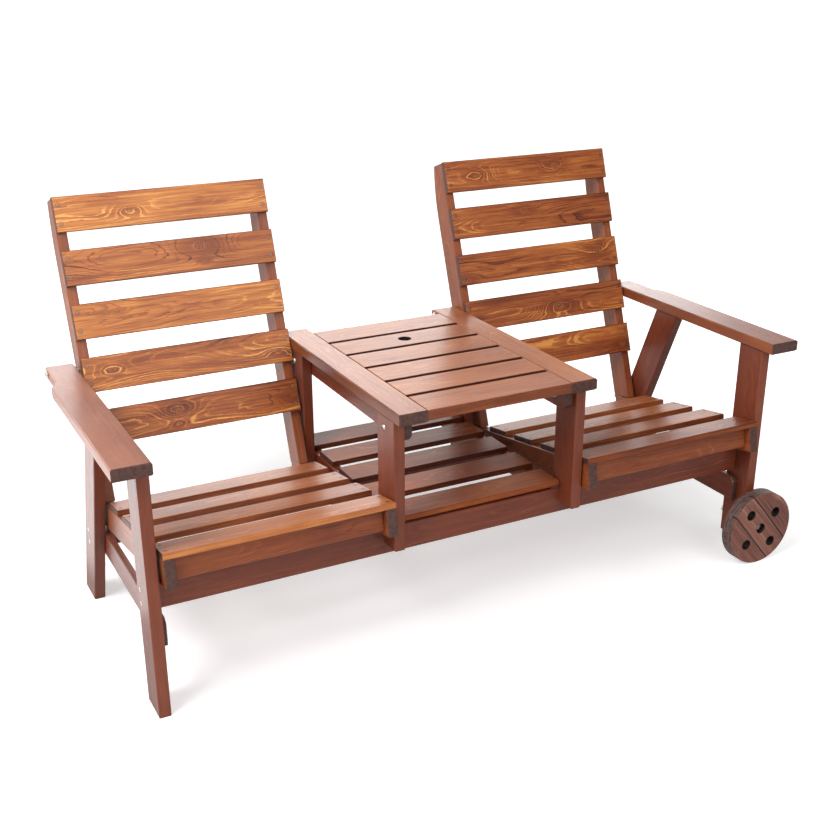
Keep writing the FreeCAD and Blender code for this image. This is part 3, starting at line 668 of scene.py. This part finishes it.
SCRATCH_NOISE, CLOUD_NOISE = (900.0, 900.0, 2.0, 0.6), (130.0, 130.0, 3.0, 0.6)
DULL = 0.6                   # colour of the dull clouds, as a share
SCRATCH_ROUGH, SCRATCH_DEEP, SCRATCH_STRENGTH = 0.15, 0.2 * MM, 0.25


def metal(name, colour, rough):
    """Plated or bare metal, unevenly dulled and finely scratched."""
    made = bpy.data.materials.new(name)
    tree = Tree(made)
    place = tree.node("ShaderNodeTexCoord").outputs["Object"]
    scratch = tree.noise(place, SCRATCH_NOISE)
    cloud = tree.noise(place, CLOUD_NOISE)
    shader = tree.node("ShaderNodeBsdfPrincipled")
    shader.inputs["Metallic"].default_value = 1.0
    tree.feed(shader.inputs["Base Color"], tree.mix(cloud, [c * DULL for c in colour], colour))
    tree.feed(shader.inputs["Roughness"], tree.add(rough, tree.times(scratch, SCRATCH_ROUGH)))
    tree.feed(shader.inputs["Normal"], tree.bump(scratch, SCRATCH_STRENGTH, SCRATCH_DEEP))
    tree.surface(shader)
    return made


MOTTLE_NOISE = (600.0, 600.0, 2.0, 0.6)
MOTTLE = (0.5, 1.8)          # darkest and palest share of the colour
MOTTLE_ROUGH = (0.45, 0.3)   # lowest roughness, and what the mottle adds


def darkening(name, colour):
    """Near-black, mottled painted shade for a screw's countersink and a bolt's socket."""
    made = bpy.data.materials.new(name)
    tree = Tree(made)
    mottle = tree.noise(tree.node("ShaderNodeTexCoord").outputs["Object"], MOTTLE_NOISE)
    shader = tree.node("ShaderNodeBsdfPrincipled")
    tones = [[c * share for c in colour] for share in MOTTLE]
    lowest, more = MOTTLE_ROUGH
    tree.feed(shader.inputs["Base Color"], tree.mix(mottle, *tones))
    tree.feed(shader.inputs["Roughness"], tree.add(lowest, tree.times(mottle, more)))
    tree.surface(shader)
    return made


ZINC = metal("zinc", (0.74, 0.71, 0.66), 0.34)
STEEL = metal("steel", (0.32, 0.29, 0.26), 0.38)
BRONZED = metal("bronzed", (0.16, 0.12, 0.10), 0.30)
# near-black painted shade for countersinks and sockets
RECESS_SHADE = darkening("recess_shade", (0.018, 0.007, 0.005))

# Timber, laid along each node's own boards: run, stain, strength of the figure,
# and the painted shade on the narrow faces, last on the front of the first board (negative is
# painted light)
seat_slope, back_tilt, rear_leg_rake = map(math.radians, (SEAT_SLOPE, BACK_TILT, REAR_LEG_RAKE))
seat_run = Vector((0, math.cos(seat_slope), -math.sin(seat_slope)))
post_run = Vector((0, math.sin(back_tilt), math.cos(back_tilt)))
rake_run = Vector((0, -math.sin(rear_leg_rake), math.cos(rear_leg_rake)))
WOODEN = {
    "table_slats": (X, SEAT_TONES, 0.45, (0.62, 0.30)),
    "parasol_slat": (X, SEAT_TONES, 0.45, (0.62, 0.62)),
    "shelf_slats": (X, SEAT_TONES, 0.40, (0.36, 0.10)),
    "front_rail": (X, FRAME_TONES, 0.50, PLAIN),
    "rear_rail": (X, FRAME_TONES, 0.50, PLAIN),
}
# the seat's front nose: painted light on the left, painted shade on the right
for side, back_tones, seat_nose in zip(SIDES, (LEFT_TONES, RIGHT_TONES), (-0.12, 0.10)):
    for key, wood in {
        "back_slats": (X, back_tones, 1.00, (0.28, 0.28)),
        "back_inner_post": (post_run, POST_TONES, 0.50, PLAIN),
        "back_outer_post": (post_run, POST_TONES, 0.50, PLAIN),
        "seat_slats": (X, SEAT_TONES, 0.65, (0.30, seat_nose)),
        "seat_front_rail": (X, POST_TONES, 0.50, PLAIN),
        "seat_inner_rail": (seat_run, POST_TONES, 0.50, PLAIN),
        "seat_outer_rail": (seat_run, POST_TONES, 0.50, PLAIN),
        "front_leg": (Z, FRAME_TONES, 0.35, (-0.14, -0.14)),
        "rear_leg": (rake_run, FRAME_TONES, 0.35, PLAIN),
        "front_table_leg": (Z, FRAME_TONES, 0.35, PLAIN),
        "rear_table_leg": (Z, FRAME_TONES, 0.35, PLAIN),
        "armrest": (Y, POST_TONES, 0.30, PLAIN),
        "table_board": (Y, SEAT_TONES, 0.40, (0.34, 0.34)),
        "table_rail": (Y, FRAME_TONES, 0.35, PLAIN),
        "stretcher": (Y, FRAME_TONES, 0.35, PLAIN),
        "shelf_bearer": (Y, FRAME_TONES, 0.35, PLAIN),
    }.items():
        WOODEN[side + key] = wood
first_seed, next_seed = NODE_SEEDS
timbers = {name: Timber(name, run, tones, first_seed + next_seed * number, contrast, shades)
           for number, (name, (run, tones, contrast, shades)) in enumerate(WOODEN.items())}

face_turn = math.radians(WHEEL_GRAIN)
first_seed, next_seed = WHEEL_SEEDS
for number, wheel in enumerate(("front_wheel", "rear_wheel")):
    for layer, turn in (("_face_boards", face_turn), ("_backing_boards", face_turn + math.pi / 2)):
        name, run = wheel + layer, Vector((math.cos(turn), 0, math.sin(turn)))
        low, high = Boards(nodes[name], run).corners[1]
        timbers[name] = Timber(name, run, WHEEL_TONES, first_seed + next_seed * number + turn,
                               disc_pitch=(high - low).y)

# Metal
HARDWARE = {name: ZINC for name in (
    "pivot_bolts", "pivot_nuts", "pivot_washers", "table_leg_bolts", "table_leg_nuts",
    "axle_bolts", "axle_nuts", "axle_washers")}
for side in SIDES:
    for key in ("back_hinge_leaves", "seat_hinge_leaves", "hinge_pins"):
        HARDWARE[side + key] = STEEL
for name, plating in HARDWARE.items():
    for slot in nodes[name].material_slots:
        slot.material = plating


def placed(name, data):
    """A new object in the scene."""
    made = bpy.data.objects.new(name, data)
    bpy.context.scene.collection.objects.link(made)
    return made


def fastener(name, body, mesh, plating):
    """A piece of the scene's own, plated, with painted shade in its countersinks and sockets."""
    bmesh.ops.remove_doubles(mesh, verts=mesh.verts, dist=WELD)
    bmesh.ops.recalc_face_normals(mesh, faces=mesh.faces)
    data = bpy.data.meshes.new(name)
    mesh.to_mesh(data)
    mesh.free()
    data.materials.append(plating)
    data.materials.append(RECESS_SHADE)
    piece = placed(name, data)
    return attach(piece, body)


# Wood screws, with a cross in the head and a cone in the wood. Lengths without
# a unit are shares of the head's radius
SCREW_HEAD = 8.8 * MM
LEG_SCREW_HEAD = 12.0 * MM
SCREW_RISE = 0.45 * MM
SCREW_TURNS, SCREW_RINGS = 24, 7
CROWN_POWER = 4
CROSS_REACH, CROSS_HALF, CROSS_DEEP = 0.62, 0.16, 1.3 * MM
CROSS_TIPS = 0.5             # how much shallower the cross is at its tips
# Radius and height of its groove, of the countersink ring and of the cone's end; these take the
# near-black painted shade
SCREW_SKIRT = ((1.04, -0.1 * MM), (1.45, 0.05 * MM), (0.45, -4.0 * MM), (0.0, -4.0 * MM))
SCREW_FROM_EDGE = 22.0 * MM
LEG_SCREW_UP = 19.0 * MM     # above and below the rail's middle
NEXT_TURN = 0.9              # radians from one screw's cross to the next one's


def crown_height(u, v):
    """Height of a screw's head at this place: a low dome with a cross cut into it."""
    share = math.hypot(u, v)
    height = SCREW_RISE * (1 - share ** CROWN_POWER)
    if share < CROSS_REACH and min(abs(u), abs(v)) < CROSS_HALF:
        height -= CROSS_DEEP * (1 - share / CROSS_REACH * CROSS_TIPS)
    return height


def screw_head(mesh, at, out, turn, head):
    """A countersunk cross-head screw, its face along out, added to this mesh."""
    side = Matrix.Rotation(turn, 3, out) @ out.orthogonal().normalized()
    other = out.cross(side)
    crown = [(number / SCREW_RINGS, None) for number in range(SCREW_RINGS + 1)]
    rings = []
    for share, level in (*crown, *SCREW_SKIRT):
        row = []
        for step in range(SCREW_TURNS):
            angle = 2 * math.pi * step / SCREW_TURNS
            u, v = share * math.cos(angle), share * math.sin(angle)
            height = crown_height(u, v) if level is None else level
            row.append(mesh.verts.new(at + (side * u + other * v) * head / 2 + out * height))
        rings.append(row)
    for number, (inner, outer) in enumerate(zip(rings, rings[1:])):
        for step in range(SCREW_TURNS):
            after = (step + 1) % SCREW_TURNS
            face = mesh.faces.new((inner[step], outer[step], outer[after], inner[after]))
            # the rings past the crown take the near-black painted shade
            face.material_index = int(number >= SCREW_RINGS)


def screws(name, body, spots, plating=BRONZED, head=SCREW_HEAD):
    """One piece that holds the screws of a body; spots are (place, outward) pairs."""
    mesh = bmesh.new()
    for number, (at, out) in enumerate(spots):
        screw_head(mesh, at, out, NEXT_TURN * number, head)
    return fastener(name, body, mesh, plating)


def slat_screws(slats, carriers):
    """Two screws where each slat crosses each of the boards that carry it."""
    boards, spots = timbers[slats].boards, []
    for low, high in boards.corners:
        for carrier in carriers:
            x = sum(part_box(carrier), Vector()).x / 2
            for y in (low.y + SCREW_FROM_EDGE, high.y - SCREW_FROM_EDGE):
                spots.append((boards.point((x, y, high.z)), boards.thick))
    return spots


def leg_screws():
    """Screws through the end legs into the long rails."""
    spots = []
    for side, out in zip(SIDES, (-X, X)):
        for leg, rail in (("front_leg", "front_rail"), ("rear_leg", "rear_rail")):
            middle = sum(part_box(rail), Vector()) / 2
            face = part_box(side + leg)[1 if out.x > 0 else 0].x
            for up in (-LEG_SCREW_UP, LEG_SCREW_UP):
                spots.append((Vector((face, middle.y, middle.z + up)), out))
    return spots


for side, plating in zip(SIDES, (STEEL, BRONZED)):
    screws(side + "back_screws", side + "back",
           slat_screws(side + "back_slats", (side + "back_inner_post", side + "back_outer_post")),
           plating)
    screws(side + "seat_screws", side + "seat",
           slat_screws(side + "seat_slats", (side + "seat_inner_rail", side + "seat_outer_rail")))
screws("shelf_screws", "bench_frame",
       slat_screws("shelf_slats", ("left_shelf_bearer", "right_shelf_bearer")))
screws("leg_screws", "bench_frame", leg_screws(), ZINC, LEG_SCREW_HEAD)

# Smooth bolts and washers in place of the CAD's many-sided ones
TURNED_SIDES = 40
DOME_STEPS = 6
DOME_FLATNESS = 0.45
SOCKET = 0.36                # share of the head's radius
SOCKET_DEPTH = 0.55          # share of the head's rise
SOCKET_ROWS = 2              # of a profile, from the middle of the socket
HEIGHT_DIGITS, RADIUS_DIGITS = 5, 4
SHARP = math.radians(32)     # least angle of an edge that stays sharp


def levels_of(obj, axis):
    """Each loose part's middle, and its radii at each height along the axis."""
    other, found = [i for i in range(3) if i != axis], []
    for part in loose_parts(obj):
        middle = Vector()
        for i in other:
            middle[i] = (min(v[i] for v in part) + max(v[i] for v in part)) / 2
        levels = {}
        for v in part:
            far = math.hypot(*(v[i] - middle[i] for i in other))
            level = levels.setdefault(round(v[axis], HEIGHT_DIGITS), set())
            level.add(round(far, RADIUS_DIGITS))
        found.append((middle, sorted((at, sorted(radii)) for at, radii in levels.items())))
    return sorted(found, key=lambda part: (*part[0], part[1]))


def bolt_profile(levels, socket):
    """Domed head and shank as (height, radius) pairs, from the head's crown to the shank's end."""
    under, radii = max(levels, key=lambda level: level[1][-1])
    crown, end = sorted((levels[0][0], levels[-1][0]), key=lambda at: abs(at - under))
    shank, head, rise = radii[0], radii[-1], crown - under
    shares = [step / DOME_STEPS for step in range(DOME_STEPS + 1)]
    path = []
    if socket:
        floor = under + rise * (1 - SOCKET_DEPTH)
        path = [(floor, 0.0), (floor, head * SOCKET)]
        shares = [SOCKET] + [share for share in shares if share > SOCKET]
    path += [(under + rise * (1 - share ** 2) ** DOME_FLATNESS, head * share) for share in shares]
    return path + [(under, shank), (end, shank), (end, 0.0)]


def washer_profile(levels, _):
    """A ring's section, in the same way."""
    (low, radii), high = levels[0], levels[-1][0]
    inner, outer = radii[0], radii[-1]
    return [(low, inner), (low, outer), (high, outer), (high, inner), (low, inner)]


def turned(name, axis, profile, socket=False):
    """A lathe-turned piece in place of this CAD node, with its sizes."""
    along = Vector((1.0 if i == axis else 0.0 for i in range(3)))
    side = along.orthogonal().normalized()
    other = along.cross(side)
    turns = (2 * math.pi * i / TURNED_SIDES for i in range(TURNED_SIDES))
    outs = [side * math.cos(turn) + other * math.sin(turn) for turn in turns]
    mesh = bmesh.new()
    for middle, levels in levels_of(nodes[name], axis):
        rows = [[mesh.verts.new(middle + along * at + out * radius) for out in outs]
                for at, radius in profile(levels, socket)]
        for row, (near, far) in enumerate(zip(rows, rows[1:])):
            for i in range(TURNED_SIDES):
                after = (i + 1) % TURNED_SIDES
                face = mesh.faces.new((near[i], near[after], far[after], far[i]))
                # the socket's rows take the near-black painted shade
                face.material_index = int(socket and row < SOCKET_ROWS)
    piece = fastener(name + "_turned", "bench_frame", mesh, ZINC)
    for face in piece.data.polygons:
        face.use_smooth = True
    piece.data.set_sharp_from_angle(angle=SHARP)
    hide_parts(name)
    return piece


turned("pivot_bolts", 0, bolt_profile)
turned("table_leg_bolts", 0, bolt_profile, socket=True)
turned("pivot_washers", 0, washer_profile)
turned("axle_washers", 1, washer_profile)

# Camera
camera = placed("camera", bpy.data.cameras.new("camera"))
camera.data.lens = CAMERA_LENS
camera.data.sensor_width = CAMERA_SENSOR
camera.data.shift_x, camera.data.shift_y = CAMERA_SHIFT
camera.location = CAMERA_AT
camera.rotation_euler = Euler(map(math.radians, (90.0 - CAMERA_PITCH, CAMERA_ROLL, -CAMERA_YAW)))
bpy.context.scene.camera = camera

# Floor, white with the object's shadow, and plainly white further off
FLOOR_REACH = 30.0
FLOOR_PAINT = (0.80, 0.79, 0.79)
FLOOR_GLOW = (0.43, 1.0)     # seen by the camera, up to the near distance and past the far one
FLOOR_NEAR, FLOOR_FAR = 0.7, 2.1
FLOOR_SHEEN = 0.5            # seen in glossy wood and metal, behind the object
SHEEN_FROM, SHEEN_TO = 0.2, 1.2

floor_mesh = bpy.data.meshes.new("floor")
floor_mesh.from_pydata([(x * FLOOR_REACH, y * FLOOR_REACH, 0)
                        for x, y in ((-1, -1), (1, -1), (1, 1), (-1, 1))], [], [(0, 1, 2, 3)])
floor = placed("floor", floor_mesh)
paint = bpy.data.materials.new("floor")
tree = Tree(paint)
plain = tree.node("ShaderNodeBsdfDiffuse")
tree.feed(plain.inputs["Color"], FLOOR_PAINT)
glow = tree.node("ShaderNodeEmission")
place = tree.node("ShaderNodeTexCoord").outputs["Object"]
level = tree.span(tree.vector("LENGTH", place), FLOOR_NEAR, FLOOR_FAR, *FLOOR_GLOW)
behind = tree.span(tree.parts(place)[1], SHEEN_FROM, SHEEN_TO, 0.0, FLOOR_SHEEN)
rays = tree.node("ShaderNodeLightPath").outputs
tree.feed(glow.inputs["Strength"], tree.add(tree.times(rays["Is Camera Ray"], level),
                                            tree.times(rays["Is Glossy Ray"], behind)))
both = tree.node("ShaderNodeAddShader")
tree.feed(both.inputs[0], plain.outputs[0])
tree.feed(both.inputs[1], glow.outputs[0])
tree.surface(both)
floor_mesh.materials.append(paint)

# World: a pale wall that is dimmer in front, under a dim ceiling
WALL_FRONT, WALL_BEHIND = 0.35, 1.0
WALL_TURN = (-0.3, 0.5)      # how far back the one passes into the other
CEILING = 0.16
WALL_TOP = (0.15, 0.75)      # heights, as sines, where the wall passes into the ceiling

world = bpy.data.worlds.new("studio")
bpy.context.scene.world = world
tree = Tree(world)
sky = tree.node("ShaderNodeBackground")
tree.feed(sky.inputs["Color"], (1.0, 1.0, 1.0))
_, depth, height = tree.parts(tree.node("ShaderNodeTexCoord").outputs["Generated"])
wall = tree.span(depth, *WALL_TURN, WALL_FRONT, WALL_BEHIND)
room = tree.span(height, *WALL_TOP, wall, CEILING)
seen = tree.node("ShaderNodeLightPath").outputs["Is Camera Ray"]
tree.feed(sky.inputs["Strength"], tree.math("MAXIMUM", room, seen))
tree.surface(sky)

# Lamps: place, aim, size, power, and whether they light matt surfaces too
LAMPS = {
    "main": ((-3.4, -1.2, 3.8), (0, 0, 0.4), (2.6, 2.6), 230.0, True),
    "front": ((0.4, -4.4, 3.4), (-0.3, 0, 0.7), (3.6, 2.8), 110.0, True),
    "sheen": ((0.4, 5.0, 2.5), (0.2, 0, 0.9), (10.0, 2.8), 330.0, False),
    "floor_sheen": ((-1.5, 1.0, 0.03), (-1.5, 1.0, 1.0), (1.0, 1.9), 9.0, False),
}
for name, (at, aim, size, power, diffuse) in LAMPS.items():
    data = bpy.data.lights.new(name, "AREA")
    data.shape = "RECTANGLE"
    data.size, data.size_y = size
    data.energy = power
    lamp = placed(name, data)
    lamp.location = at
    lamp.rotation_euler = (Vector(aim) - Vector(at)).to_track_quat("-Z", "Y").to_euler()
    lamp.visible_camera = False
    lamp.visible_diffuse = diffuse

bpy.context.scene.view_settings.view_transform = "Standard"
